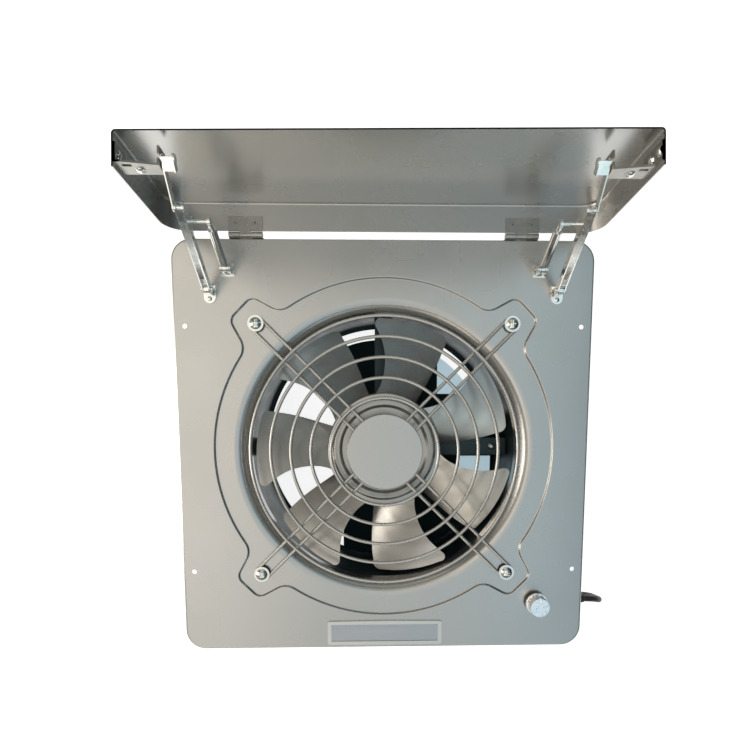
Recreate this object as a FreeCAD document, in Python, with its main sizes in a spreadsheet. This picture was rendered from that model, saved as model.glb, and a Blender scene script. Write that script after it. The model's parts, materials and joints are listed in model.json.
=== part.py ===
import FreeCAD, Part
import math
import os
import re
import Sketcher

# Wall exhaust fan with a hinged weather lid.  Millimetres.
# +Z is the fan axis, out of the front; +Y points to the lid's hinge; +X is to the right seen from the front.
# Z = 0 is the rear of the panel's folded rim, which is the plane of the wall it is fixed to.

SIZES = {
    # front panel
    "panel_side": 400, "panel_corner": 20, "rim_depth": 12, "skin": 1.2, "bend": 2.2,
    "recess_depth": 2.5, "recess_bend": 1.1, "recess_radius": 165, "lug_reach": 193, "lug_width": 30,
    "lug_root": 130, "lug_root_width": 68.2, "lug_corner": 9, "lug_blend": 16,
    "mouth_radius": 146.5, "roll_radius": 13.5, "lip_depth": 8,
    "mount_half_x": 189, "mount_half_y": 119.5, "mount_hole": 2.25,
    # duct
    "duct_inner": 134.35, "duct_back": 90, "hem_width": 3, "bead_z": 67, "bead_half": 3,
    # guard
    "wire": 3.2, "ring_first": 52, "ring_step": 19.25, "guard_height": 18.4, "guard_disc": 36.5,
    "guard_screw_half": 122, "leg_half_gap": 6.25,
    # fan
    "hub_radius": 57.5, "hub_front": 13, "hub_depth": 25, "blade_tip": 130, "blade_rake": 6.5,
    "blade_skin": 1.3, "shaft": 4,
    # motor and bracket
    "strap_z": 46, "strap_skin": 2, "strap_width": 18, "motor_radius": 42, "motor_depth": 36,
    # control
    "knob_x": 152.5, "knob_y": 153.5, "knob_radius": 10, "knob_height": 17,
    "box_side": 58, "box_depth": 34,
    # hinge and lid
    "hinge_x": 129, "hinge_width": 31.5, "hinge_y": 202.8, "knuckle": 2.75, "hinge_pin": 1.3,
    "lid_side": 404, "lid_top": 30, "lid_rim": 2.8, "lid_bend": 3, "lid_angle": 97.3,
    # folding stay
    "arm_x": 164, "foot_y": 152, "foot_rise": 9, "lower_length": 83, "upper_length": 34.95,
    "lower_angle": 53.6, "upper_angle": 37.3, "arm_half": 3.5, "arm_skin": 0.9, "lug_along": 64, "lug_drop": 9,
    "strut_x": 147, "strut_y": 171, "strut_length": 53.1, "strut_angle": 60.4,
    # mains lead
    "cord": 3.5, "coil_x": 158, "coil_y": 158, "coil_radius": 37, "coil_width": 21, "coil_height": 14,
    "exit_y": 158, "exit_z": 9,
    # motor lead, where it passes through the duct wall on the lower right diagonal
    "grommet_reach": 93.6, "grommet_z": 56,
}
BLADES = 7
FIRST_BLADE = 24.0

doc = FreeCAD.newDocument("exhaust_hood_fan")
sheet = doc.addObject("Spreadsheet::Sheet", "Sizes")
for row, (alias, number) in enumerate(SIZES.items(), start=1):
    sheet.set("A%d" % row, alias)
    sheet.set("B%d" % row, str(number))
    sheet.setAlias("B%d" % row, alias)
doc.recompute()

ALIAS = re.compile(r"\b(" + "|".join(SIZES) + r")\b")
V = FreeCAD.Vector
NODES = {}


def ref(expression):
    return ALIAS.sub(r"Sizes.\1", str(expression))


def size(expression):
    return float(sheet.evalExpression(ref(expression)))


def bind(obj, **sizes):
    for name, expression in sizes.items():
        obj.setExpression(name.replace("__", "."), ref(expression))
    return obj


def place(obj, at=(0, 0, 0), axis=(0, 0, 1), angle=0.0):
    """Turn about the object's origin, then move it; each coordinate follows the sheet."""
    turn = FreeCAD.Rotation(V(*axis), angle)
    obj.Placement = FreeCAD.Placement(V(*[size(c) for c in at]), turn)
    for letter, expression in zip("xyz", at):
        obj.setExpression("Placement.Base." + letter, ref(expression))
    return obj


def along(axis):
    """Rotation axis and angle that turn +Z onto the given direction."""
    turn = FreeCAD.Rotation(V(0, 0, 1), V(*axis))
    return tuple(turn.Axis), math.degrees(turn.Angle)


def node(obj, name):
    obj.Label = name
    NODES[name] = obj
    return obj


def cylinder(radius, length, at=(0, 0, 0), axis=(0, 0, 1)):
    obj = bind(doc.addObject("Part::Cylinder", "cylinder"), Radius=radius, Height=length)
    turn_axis, angle = along(axis)
    return place(obj, at, turn_axis, angle)


def cone(radius, end_radius, length, at=(0, 0, 0), axis=(0, 0, 1)):
    obj = bind(doc.addObject("Part::Cone", "cone"), Radius1=radius, Radius2=end_radius, Height=length)
    turn_axis, angle = along(axis)
    return place(obj, at, turn_axis, angle)


def block(length, width, height, at=(0, 0, 0), axis=(0, 0, 1), angle=0.0):
    """Box whose corner sits at the given place."""
    obj = bind(doc.addObject("Part::Box", "block"), Length=length, Width=width, Height=height)
    return place(obj, at, axis, angle)


def ball(radius, at=(0, 0, 0)):
    return place(bind(doc.addObject("Part::Sphere", "ball"), Radius=radius), at)


def torus(major, minor, at=(0, 0, 0), low=-180.0, high=180.0):
    obj = bind(doc.addObject("Part::Torus", "torus"), Radius1=major, Radius2=minor)
    obj.Angle1 = low
    obj.Angle2 = high
    return place(obj, at)


def cut(base, *tools):
    obj = doc.addObject("Part::Cut", "cut")
    obj.Base = base
    obj.Tool = tools[0] if len(tools) == 1 else fuse(*tools)
    return obj


def fuse(*parts):
    obj = doc.addObject("Part::MultiFuse", "fuse")
    obj.Shapes = list(parts)
    return obj


def common(base, tool):
    obj = doc.addObject("Part::Common", "common")
    obj.Base = base
    obj.Tool = tool
    return obj


def group(*parts):
    obj = doc.addObject("Part::Compound", "group")
    obj.Links = list(parts)
    return obj


def tube(outer, inner, length, at=(0, 0, 0), axis=(0, 0, 1)):
    return cut(cylinder(outer, length, at, axis), cylinder(inner, length, at, axis))


def plane(body, role):
    return next(item for item in body.Origin.OriginFeatures if item.Role == role)


def outline(body, role, points):
    """Closed polygon on an origin plane; every corner is dimensioned from the sheet."""
    sketch = body.newObject("Sketcher::SketchObject", "outline")
    sketch.AttachmentSupport = (plane(body, role), [""])
    sketch.MapMode = "FlatFace"
    corners = [V(size(x), size(y), 0) for x, y in points]
    count = len(corners)
    for i in range(count):
        sketch.addGeometry(Part.LineSegment(corners[i], corners[(i + 1) % count]))
    for i in range(count):
        sketch.addConstraint(Sketcher.Constraint("Coincident", i, 2, (i + 1) % count, 1))
    for i, (x, y) in enumerate(points):
        for kind, expression in (("DistanceX", x), ("DistanceY", y)):
            index = sketch.addConstraint(Sketcher.Constraint(kind, -1, 1, i, 1, size(expression)))
            sketch.setExpression("Constraints[%d]" % index, ref(expression))
    return sketch


def padded(points, height, role="XY_Plane"):
    body = doc.addObject("PartDesign::Body", "body")
    pad = body.newObject("PartDesign::Pad", "pad")
    pad.Profile = outline(body, role, points)
    bind(pad, Length=height)
    return body


def revolved(points):
    """Body of revolution about Z from an outline of (radius, height) corners."""
    body = doc.addObject("PartDesign::Body", "body")
    turned = body.newObject("PartDesign::Revolution", "turned")
    profile = outline(body, "XZ_Plane", points)
    turned.Profile = profile
    turned.ReferenceAxis = (profile, ["V_Axis"])
    turned.Angle = 360.0
    return body


def rectangle(half_x, half_y):
    return [("-(%s)" % half_x, "-(%s)" % half_y), (half_x, "-(%s)" % half_y), (half_x, half_y),
            ("-(%s)" % half_x, half_y)]


def upright_edges(shape):
    names = []
    for i, edge in enumerate(shape.Edges, start=1):
        if len(edge.Vertexes) == 2 and edge.Curve.TypeId == "Part::GeomLine":
            step = edge.Vertexes[1].Point - edge.Vertexes[0].Point
            if abs(step.x) + abs(step.y) < 1e-6:
                names.append("Edge%d" % i)
    return names


def edges_at(shape, height):
    return ["Edge%d" % i for i, edge in enumerate(shape.Edges, start=1)
            if all(abs(vertex.Z - height) < 1e-6 for vertex in edge.Vertexes) and
            abs(edge.BoundBox.ZMax - edge.BoundBox.ZMin) < 1e-6]


def pan(side, height, corner, bend):
    """Rounded square block with its top edge bent round."""
    body = padded(rectangle("(%s) / 2" % side, "(%s) / 2" % side), height)
    doc.recompute()
    pad = body.Tip
    fillet = body.newObject("PartDesign::Fillet", "corners")
    fillet.Base = (pad, upright_edges(pad.Shape))
    bind(fillet, Radius=corner)
    doc.recompute()
    rim = body.newObject("PartDesign::Fillet", "bend")
    rim.Base = (fillet, edges_at(fillet.Shape, size(height)))
    bind(rim, Radius=bend)
    doc.recompute()
    return body


def polar(make, angles):
    """One piece for each angle, turned about Z."""
    pieces = []
    for angle in angles:
        holder = group(make())
        holder.Placement = FreeCAD.Placement(V(0, 0, 0), FreeCAD.Rotation(V(0, 0, 1), angle))
        pieces.append(holder)
    return pieces


DIAGONALS = (45.0, 135.0, 225.0, 315.0)
SIDES = ((-1, "left"), (1, "right"))


def cardinals(distance):
    return [(distance, 0), (0, distance), (-distance, 0), (0, -distance)]


def corners_of(half_x, half_y):
    return [("%d * (%s)" % (sx, half_x), "%d * (%s)" % (sy, half_y)) for sx in (-1, 1) for sy in (-1, 1)]


# ---------------------------------------------------------------- front panel
def softened(base, names, radius, kind="Part::Fillet"):
    obj = doc.addObject(kind, "softened")
    obj.Base = base
    obj.Edges = [(int(name[4:]), radius, radius) for name in names]
    return obj


def emboss(grow, depth, top):
    """Disc with four flared lugs on the diagonals, the form pressed into the panel, its corners rounded."""
    disc = cylinder("recess_radius + %s" % grow, depth, (0, 0, "%s - (%s)" % (top, depth)))

    def lug():
        points = [("lug_root", "-(lug_root_width / 2 + %s)" % grow),
                  ("lug_reach + %s" % grow, "-(lug_width / 2 + %s)" % grow),
                  ("lug_reach + %s" % grow, "lug_width / 2 + %s" % grow),
                  ("lug_root", "lug_root_width / 2 + %s" % grow)]
        return place(padded(points, depth), (0, 0, "%s - (%s)" % (top, depth)))

    star = fuse(disc, *polar(lug, DIAGONALS))
    doc.recompute()
    tips, hollows = [], []
    for name in upright_edges(star.Shape):
        corner = star.Shape.Edges[int(name[4:]) - 1].Vertexes[0].Point
        reach = math.hypot(corner.x, corner.y)
        if reach > size("lug_reach") - 1:
            tips.append((int(name[4:]), size("lug_corner + %s" % grow), size("lug_corner + %s" % grow)))
        elif abs(corner.y) > 1:
            hollows.append((int(name[4:]), size("lug_blend - %s" % grow), size("lug_blend - %s" % grow)))
    rounded = doc.addObject("Part::Fillet", "rounded")
    rounded.Base = star
    rounded.Edges = tips + hollows
    return rounded


def recess_edges(shape, height):
    """Edges of the pressed form at one height; they stay well inside the panel's own outline."""
    reach = size("panel_side") / 2 - 6
    names = []
    for name in edges_at(shape, height):
        box = shape.Edges[int(name[4:]) - 1].BoundBox
        if max(abs(box.XMin), abs(box.XMax), abs(box.YMin), abs(box.YMax)) < reach:
            names.append(name)
    return names


def front_panel():
    """Folded panel with its pressed recess, rolled mouth and holes."""
    outer = pan("panel_side", "rim_depth", "panel_corner", "bend")
    inner = pan("panel_side - 2 * skin", "rim_depth - skin", "panel_corner - skin", "bend - skin")
    backed = fuse(cut(outer, inner), emboss("1.2", "recess_depth + skin", "rim_depth"))
    pressed = cut(backed, emboss("0", "recess_depth + 1", "rim_depth + 1"))
    doc.recompute()
    brim = softened(pressed, recess_edges(pressed.Shape, size("rim_depth")), size("recess_bend"))
    doc.recompute()
    floor = "rim_depth - recess_depth"
    sloped = softened(brim, recess_edges(brim.Shape, size(floor)), size("recess_bend"))
    opened = cut(sloped, cylinder("mouth_radius", "rim_depth", (0, 0, 0)))
    centre = (0, 0, "%s - roll_radius" % floor)
    roll = cut(torus("mouth_radius", "roll_radius", centre, -180, -90),
               torus("mouth_radius", "roll_radius - skin", centre, -180, -90))
    throat = "mouth_radius - roll_radius"
    lip = tube("%s + skin" % throat, throat, "lip_depth", (0, 0, "%s - roll_radius - lip_depth" % floor))
    holes = [cylinder(radius, 20, (x, y, 0)) for radius, places in
             (("mount_hole", corners_of("mount_half_x", "mount_half_y")),
              (2.6, corners_of("guard_screw_half", "guard_screw_half")),
              (3.6, [("knob_x", "-knob_y")])) for x, y in places]
    return cut(fuse(opened, roll, lip), *holes)


def nameplate():
    body = padded([(-57.5, -11), ("-56", -12), (0, -12.6), (56, -12), (57.5, -11), (57.5, 11), (56, 12),
                   (0, 12.6), (-56, 12), (-57.5, 11)], 1.6)
    tray = padded(rectangle(53.5, 8.6), 2)
    return cut(place(body, (0, -184, "rim_depth")), place(tray, (0, -184, "rim_depth + 0.9")))


# ---------------------------------------------------------------- duct and guard
def duct_ring():
    """Rolled wall with an inward hem at its rear and a raised bead that stops the hose short of the grommet."""
    wall = "duct_inner + skin"
    front = "rim_depth - recess_depth - roll_radius + 1.4"
    crest = wall + " + 1.5"
    ring = revolved([("duct_inner - hem_width", "-duct_back"), (wall, "-duct_back"), (wall, "-bead_z - bead_half"),
                     (crest, "1 - bead_z - bead_half"), (crest, "bead_half - bead_z - 1"),
                     (wall, "bead_half - bead_z"), (wall, front),
                     ("duct_inner", front), ("duct_inner", "2 - duct_back"),
                     ("duct_inner - hem_width", "2 - duct_back")])
    return cut(ring, cylinder(5.2, 20, ("grommet_reach - 3.6", "3.6 - grommet_reach", "-grommet_z"), (1, -1, 0)))


def guard_rings():
    return group(*[torus("ring_first + %d * ring_step" % i, "wire / 2", (0, 0, "guard_height"))
                   for i in range(5)])


def wire_solid(points, radius, bend):
    """Round wire along straight runs joined by tangent arcs of one bend radius."""
    edges = []
    last = points[0]
    for before, corner, after in zip(points, points[1:], points[2:]):
        a = (before - corner).normalize()
        b = (after - corner).normalize()
        half_turn = (math.pi - a.getAngle(b)) / 2
        reach = bend * math.tan(half_turn)
        start = corner + a * reach
        end = corner + b * reach
        middle = corner + (a + b).normalize() * (bend / math.cos(half_turn) - bend)
        edges.append(Part.LineSegment(last, start).toShape())
        edges.append(Part.Arc(start, middle, end).toShape())
        last = end
    edges.append(Part.LineSegment(last, points[-1]).toShape())
    path = Part.Wire(edges)
    profile = Part.Wire([Part.makeCircle(radius, points[0], points[1] - points[0])])
    return path.makePipeShell([profile], True, False)


def guard_legs():
    """Four hairpins: each runs under the rings, round its screw and back."""
    gap = size("leg_half_gap")
    outer = size("guard_screw_half") * math.sqrt(2)
    top = size("guard_height - wire * 0.94")
    foot = size("rim_depth - recess_depth + wire / 2 + 0.2")
    start = size("guard_disc") - 5
    slope = (foot - top) / (outer - start)
    far = outer + gap
    end = top + slope * (far - start)
    path = [V(start, -gap, top), V(far, -gap, end), V(far, gap, end), V(start, gap, top)]
    hairpin = wire_solid(path, size("wire / 2"), gap * 0.98)
    shapes = []
    for angle in DIAGONALS:
        leg = hairpin.copy()
        leg.rotate(V(0, 0, 0), V(0, 0, 1), angle)
        shapes.append(leg)
    legs = doc.addObject("Part::Feature", "guard_legs")
    legs.Shape = Part.makeCompound(shapes)
    return legs


def guard_disc():
    top = "guard_height + 1"
    return revolved([(0, "guard_height - 0.6"), ("guard_disc - 0.6", "guard_height - 0.6"),
                     ("guard_disc", "guard_height"), ("guard_disc", "guard_height + 0.4"),
                     ("guard_disc - 0.6", top), (0, top)])


def cross_recess(at, span, depth):
    """Cross-shaped driver recess, centred on a screw's top."""
    x, y, z = at
    arms = []
    for length, width in ((span, "0.9"), ("0.9", span)):
        arms.append(block(length, width, depth, ("%s - %s / 2" % (x, length), "%s - %s / 2" % (y, width),
                                                 "%s - %s" % (z, depth))))
    return fuse(*arms)


WASHER_SEAT = "rim_depth - recess_depth + wire + 0.42"


def guard_screw(x, y):
    seat = WASHER_SEAT + " + 1.1"
    head = common(ball(7.4, (x, y, "%s - 4.2" % seat)), cylinder(5.6, 5, (x, y, seat)))
    stem = cylinder(2.4, 14, (x, y, "%s - 13.9" % seat))
    return cut(fuse(head, stem), cross_recess((x, y, "%s + 3.4" % seat), "5.6", "2"))


def guard_screws():
    return group(*[guard_screw(x, y) for x, y in corners_of("guard_screw_half", "guard_screw_half")])


def guard_washers():
    return group(*[tube(7.6, 2.5, 1.1, (x, y, WASHER_SEAT))
                   for x, y in corners_of("guard_screw_half", "guard_screw_half")])


# ---------------------------------------------------------------- motor and bracket
def motor_bracket():
    """Cross of two straps with a centre ring, screwed to tabs on the duct."""
    reach = "duct_inner - 3"
    level = "-strap_z"
    straps = [block("2 * (%s)" % reach, "strap_width", "strap_skin", ("-(%s)" % reach, "-strap_width / 2", level)),
              block("strap_width", "2 * (%s)" % reach, "strap_skin", ("-strap_width / 2", "-(%s)" % reach, level))]
    disc = cylinder(36, "strap_skin", (0, 0, level))
    holes = [cylinder(6.5, 6, (0, 0, "-strap_z - 2"))]
    for x, y in cardinals(117) + cardinals(28):
        holes.append(cylinder(2.1, 6, (x, y, "-strap_z - 2")))
    return cut(fuse(disc, *straps), *holes)


def bracket_tabs():
    """Four angle tabs welded to the duct wall behind the straps."""
    def tab():
        shelf = block(28, "strap_width", 1.6, (105, "-strap_width / 2", "-strap_z - 1.6"))
        heel = block(1.6, "strap_width", 16, (131.4, "-strap_width / 2", "-strap_z - 17.6"))
        return cut(fuse(shelf, heel), cylinder(2.1, 6, (117, 0, "-strap_z - 4")))

    return group(*polar(tab, (0.0, 90.0, 180.0, 270.0)))


def pan_screw(at, radius, length):
    x, y, z = at
    head = common(ball("%s * 1.35" % radius, (x, y, "%s - %s * 0.7" % (z, radius))),
                  cylinder(radius, radius, (x, y, z)))
    stem = cylinder("%s * 0.5" % radius, "%s + 0.1" % length, (x, y, "%s - %s" % (z, length)))
    return cut(fuse(head, stem), cross_recess((x, y, "%s + %s * 0.65" % (z, radius)), radius, "0.8"))


def ring_of_screws(distance, radius, length, level):
    return group(*[pan_screw((x, y, level), radius, length) for x, y in cardinals(distance)])


def motor_front_shell():
    """Front end bell: cup with a bearing boss; its face bolts against the bracket."""
    face = "-strap_z"
    bell = revolved([(7.5, face), (41, face), ("motor_radius", "%s - 1" % face), ("motor_radius", "%s - 17.9" % face),
                     ("motor_radius - 2", "%s - 17.9" % face), ("motor_radius - 2", "%s - 2" % face),
                     (13, "%s - 2" % face), (13, "%s - 9" % face), (11.05, "%s - 9" % face),
                     (11.05, "%s - 1.5" % face), (7.5, "%s - 1.5" % face)])
    return cut(bell, *[cylinder(1.82, 6, (x, y, "%s - 4" % face)) for x, y in cardinals(28)])


def motor_rear_shell():
    back = "-strap_z - motor_depth"
    return revolved([(0, back), (39, back), ("motor_radius", "%s + 3" % back), ("motor_radius", "%s + 18" % back),
                     ("motor_radius - 2", "%s + 18" % back), ("motor_radius - 2", "%s + 2" % back),
                     (13, "%s + 2" % back), (13, "%s + 8.6" % back), (11.05, "%s + 8.6" % back),
                     (11.05, "%s + 1.5" % back), (0, "%s + 1.5" % back)])


def motor_bearings():
    """Two ball bearings seen as their closed rings, one in each end bell."""
    def bearing(low):
        return tube(11, "shaft + 0.05", 7, (0, 0, low))

    return group(bearing("-strap_z - 8.6"), bearing("-strap_z - motor_depth + 1.6"))


def stator_core():
    arms = polar(lambda: block(13.4, 7, 12, (24.6, -3.5, "-strap_z - 24")), [45 * i for i in range(8)])
    ring = tube("motor_radius - 2.1", 35, 12, (0, 0, "-strap_z - 24"))
    return cut(fuse(ring, *arms), cylinder(24.6, 14, (0, 0, "-strap_z - 25")))


def stator_windings():
    """One coil round each stator tooth."""
    def coil():
        outer = block(6.5, 13, 17.4, (27.5, -6.5, "-strap_z - 26.7"))
        return cut(outer, block(8, 7.2, 12.2, (27, -3.6, "-strap_z - 24.1")))

    return group(*polar(coil, [45 * i for i in range(8)]))


def rotor_core():
    return tube(24.2, "shaft + 0.005", 12, (0, 0, "-strap_z - 24"))


def rotor_shaft():
    back = "-strap_z - motor_depth + 1.8"
    return revolved([(0, back), ("shaft", back), ("shaft", "-9"), (0, "-9")])


# ---------------------------------------------------------------- fan wheel
def fan_hub():
    """Pressed cup: sunk centre, annular bead, shoulder and skirt, with a boss for the shaft."""
    front = "-hub_front"
    skin = "1.5"
    back = "-hub_front - hub_depth"
    cup = revolved([("shaft + 0.01", front), (42.5, front), (45, "%s + 3.6" % front), (50, "%s + 3.6" % front),
                    (52.5, "%s + 1.2" % front), ("hub_radius - 1.2", "%s + 0.8" % front),
                    ("hub_radius", "%s - 0.6" % front), ("hub_radius", back), ("hub_radius - %s" % skin, back),
                    ("hub_radius - %s" % skin, "%s - 1.4" % front), (51.8, "%s - 0.4" % front),
                    (49.4, "%s + 2.1" % front), (45.6, "%s + 2.1" % front), (43.2, "%s - 1.5" % front),
                    (10, "%s - 1.5" % front), (10, "%s - 16" % front), ("shaft + 0.01", "%s - 16" % front)])
    doc.recompute()
    bead = []
    for i, edge in enumerate(cup.Shape.Edges, start=1):
        box = edge.BoundBox
        if edge.Curve.TypeId == "Part::GeomCircle" and box.ZMax - box.ZMin < 1e-6:
            if 40 < edge.Curve.Radius < 56.5 and box.ZMin > size(front) + 0.5:
                bead.append("Edge%d" % i)
    smooth = softened(cup, bead, 1.1)
    return cut(smooth, cylinder(1.6, 12, (0, 0, "%s - 11" % front), (1, 0, 0)))


def blade_plan():
    """Sickle outline seen from the front, about +X: hollow leading edge, fuller trailing edge, rounded tip."""
    root = size("hub_radius") + 0.15
    tip = size("blade_tip")

    def at(radius, degrees):
        return V(radius * math.cos(math.radians(degrees)), radius * math.sin(math.radians(degrees)), 0)

    leading = Part.BSplineCurve()
    leading.interpolate([at(root, 22.5), at(68, 16.6), at(80, 14.3), at(92, 13.9), at(104, 14.9),
                         at(114, 16.6), at(tip - 8, 18.2)])
    trailing = Part.BSplineCurve()
    trailing.interpolate([at(tip - 9, -16.4), at(110, -17.6), at(95, -18.8), at(76, -19.9), at(root, -21.5)])
    nose = Part.Arc(at(tip - 8, 18.2), at(tip - 1.8, 18.1), at(tip, 15.2))
    tip_arc = Part.Arc(at(tip, 15.2), at(tip, 0), at(tip, -12.4))
    heel = Part.Arc(at(tip, -12.4), at(tip - 2.1, -15.4), at(tip - 9, -16.4))
    root_arc = Part.Arc(at(root, -21.5), at(root, 0), at(root, 22.5))
    edges = [curve.toShape() for curve in (leading, nose, tip_arc, heel, trailing, root_arc)]
    return Part.Face(Part.Wire(Part.__sortEdges__(edges)))


def blade_sheet():
    """Twisted sheet, leading edge to the front: 27 degrees of pitch at the root easing to 15 at the tip,
    cambered, and raked forward towards the tip."""
    root = size("hub_radius")
    span = size("blade_tip") - root
    rows = []
    for k in range(6):
        radius = root - 6 + (span + 10) * k / 5.0
        share = (radius - root) / span
        pitch = math.radians(27 - 12 * share)
        row = []
        for j in range(-4, 5):
            width = j / 4.0 * radius * math.radians(30)
            camber = 3.0 * (1 - (j / 4.0) ** 2)
            row.append(V(radius, width, width * math.tan(pitch) + camber + size("blade_rake") * share))
        rows.append(row)
    surface = Part.BSplineSurface()
    surface.interpolate(rows)
    return surface.toShape().extrude(V(0, 0, -size("blade_skin")))


def fan_blades():
    centre = V(0, 0, -size("hub_front") - size("hub_depth") / 2)
    prism = blade_plan().extrude(V(0, 0, 80))
    prism.translate(V(0, 0, -40))
    blank = prism.common(blade_sheet())
    for i in range(BLADES):
        blade = doc.addObject("Part::Feature", "blade")
        blade.Shape = blank.Solids[0]
        turn = FreeCAD.Rotation(V(0, 0, 1), FIRST_BLADE + 360.0 * i / BLADES)
        blade.Placement = FreeCAD.Placement(centre, turn)
        node(blade, "blade_%d" % (i + 1))


def hub_nut():
    sides = [(7 * math.cos(math.radians(60 * i)), 7 * math.sin(math.radians(60 * i))) for i in range(6)]
    nut = padded(sides, 2.9)
    return cut(place(nut, (0, 0, "-hub_front + 0.02")), cylinder("shaft + 0.01", 10, (0, 0, -15)))


# ---------------------------------------------------------------- speed control and mains entry
def control_box():
    """Sheet-metal box behind the panel that covers the speed control."""
    top = "rim_depth - skin"
    low = "%s - box_depth" % top
    outer = block("box_side", "box_side", "box_depth", ("knob_x + 31 - box_side", "-knob_y - 31", low))
    inner = block("box_side - 2.4", "box_side - 2.4", "box_depth - 1.2",
                  ("knob_x + 32.2 - box_side", "-knob_y - 29.8", "%s + 1.2" % low))
    throat = cylinder("recess_radius + 1.4", 60, (0, 0, -40))
    return cut(outer, inner, throat, cylinder(5.6, 8, ("knob_x + 28", "-exit_y", "-exit_z"), (1, 0, 0)),
               cylinder(3.2, 8, ("knob_x + 27 - box_side", "-knob_y + 10", -12), (1, 0, 0)))


def lug_clearance():
    return emboss("1.4", "recess_depth + skin + 1", "rim_depth")


def speed_control():
    """Rotary control with its threaded bush, under the panel."""
    top = "rim_depth - skin"
    can = cylinder(10.5, 9, ("knob_x", "-knob_y", "%s - 9" % top))
    bush = cylinder(3.5, 5.6, ("knob_x", "-knob_y", "%s - 0.1" % top))
    board = block(30, 34, 1.6, ("knob_x - 15", "-knob_y - 17", "%s - 10.6" % top))
    return cut(fuse(can, bush, board), cylinder(2.05, 40, ("knob_x", "-knob_y", -20)))


def control_shaft():
    return cylinder(2, 20, ("knob_x", "-knob_y", "rim_depth - 8"))


def speed_knob():
    """Fluted metal knob with a pointer notch and a thin skirt."""
    low = "rim_depth + 4.6"
    body = fuse(cylinder("knob_radius + 0.8", 1.6, ("knob_x", "-knob_y", low)),
                cone("knob_radius", "knob_radius - 0.8", "knob_height - 4.6", ("knob_x", "-knob_y", low)))
    flutes = []
    for i in range(18):
        turn = math.radians(20 * i + 10)
        flutes.append(cylinder(0.9, 20, ("knob_x + %f" % (10.35 * math.cos(turn)),
                                         "-knob_y + %f" % (10.35 * math.sin(turn)), "%s + 2.4" % low)))
    notch = block(1.6, 6, 3, ("knob_x - 0.8", "-knob_y + 4.6", "rim_depth + knob_height - 1.6"))
    bore = cylinder(2.01, 11, ("knob_x", "-knob_y", "rim_depth + 1.1"))
    return cut(body, notch, bore, *flutes)


def run_capacitor():
    return block(20, 34, 14, ("knob_x - 2", "-knob_y - 24", "rim_depth - skin - box_depth + 1.3"))


def cable_gland():
    x = "knob_x + 31"
    flange = tube(8, 4.6, 2, (x, "-exit_y", "-exit_z"), (1, 0, 0))
    neck = tube(5.5, 4.6, 4, ("%s - 3.9" % x, "-exit_y", "-exit_z"), (1, 0, 0))
    return fuse(flange, neck)


def strain_relief():
    x = "knob_x + 33"
    sleeve = cone(6.2, 4.6, 25, (x, "-exit_y", "-exit_z"), (1, 0, 0))
    root = cylinder(4.55, 8, ("%s - 7.5" % x, "-exit_y", "-exit_z"), (1, 0, 0))
    return cut(fuse(sleeve, root), cylinder("cord + 0.01", 60, ("%s - 20" % x, "-exit_y", "-exit_z"), (1, 0, 0)))


# The lead bends down past the panel's edge, comes back under its corner and runs into the tied coil.
LEAD = [(200, -158, -9), (218, -158, -9), (230, -162.5, -17), (236, -168, -31), (235, -172, -56),
        (223.5, -179, -75), (205, -187, -86.4), (188.5, -194.5, -86.5), (173.5, -199.2, -86.3)]
MOTOR_LEAD = [(125.5, -143.5, -12), (114, -142, -14), (106.5, -135, -24), (103.5, -124, -38), (104.5, -112.5, -50),
              (103, -103, -56), (82, -82, -56.5), (67, -65, -60), (49, -49.5, -66), (29.8, -29.8, -67)]


def lead_solid(points, radius, label):
    """Tube of straight runs joined by arcs as large as the runs allow."""
    route = [V(*point) for point in points]
    edges = []
    last = route[0]
    length = 0.0
    radii = []
    for before, corner, after in zip(route, route[1:], route[2:]):
        a = before - corner
        b = after - corner
        reach = 0.45 * min(a.Length, b.Length)
        a.normalize()
        b.normalize()
        half_turn = (math.pi - a.getAngle(b)) / 2
        bend = reach / math.tan(half_turn)
        start = corner + a * reach
        end = corner + b * reach
        middle = corner + (a + b).normalize() * (bend / math.cos(half_turn) - bend)
        edges.append(Part.LineSegment(last, start).toShape())
        edges.append(Part.Arc(start, middle, end).toShape())
        length += (start - last).Length + bend * 2 * half_turn
        radii.append(round(bend, 1))
        last = end
    edges.append(Part.LineSegment(last, route[-1]).toShape())
    length += (route[-1] - last).Length
    profile = Part.Wire([Part.makeCircle(radius, route[0], route[1] - route[0])])
    solid = Part.Wire(edges).makePipeShell([profile], True, False)
    expected = math.pi * radius ** 2 * length
    print(label, "length", round(length, 1), "radii", radii, "volume ratio", round(solid.Volume / expected, 4))
    lead = doc.addObject("Part::Feature", label)
    lead.Shape = solid
    return lead


def cord_coil():
    low = "1 - duct_back"
    return tube("coil_radius + coil_width / 2", "coil_radius - coil_width / 2", "coil_height",
                ("coil_x", "-coil_y", low))


def cord_tie():
    """Strap round the bundle on the coil's side away from the lead."""
    outer = block("coil_width + 3", 12, "coil_height + 1.8",
                  ("coil_x - coil_radius - coil_width / 2 - 0.9", "-coil_y - 6", "0.1 - duct_back"))
    inner = block("coil_width + 1.2", 14, "coil_height + 0.1",
                  ("coil_x - coil_radius - coil_width / 2 - 0.05", "-coil_y - 7", "0.95 - duct_back"))
    return cut(outer, inner)


PLUG = ("coil_x - 16", "-coil_y - 46", "15.2 - duct_back")


def mains_plug():
    x, y, z = PLUG
    body = block(36, 24, 14, (x, y, z))
    doc.recompute()
    return softened(body, ["Edge%d" % i for i in range(1, 13)], 3.0)


def plug_pins():
    x, y, z = PLUG
    pins = []
    for offset in (3, 21):
        pins.append(cylinder(2.0, 19, (x, "%s + %s" % (y, offset), "%s + 7" % z), (-1, 0, 0)))
    return group(*pins)


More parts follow.
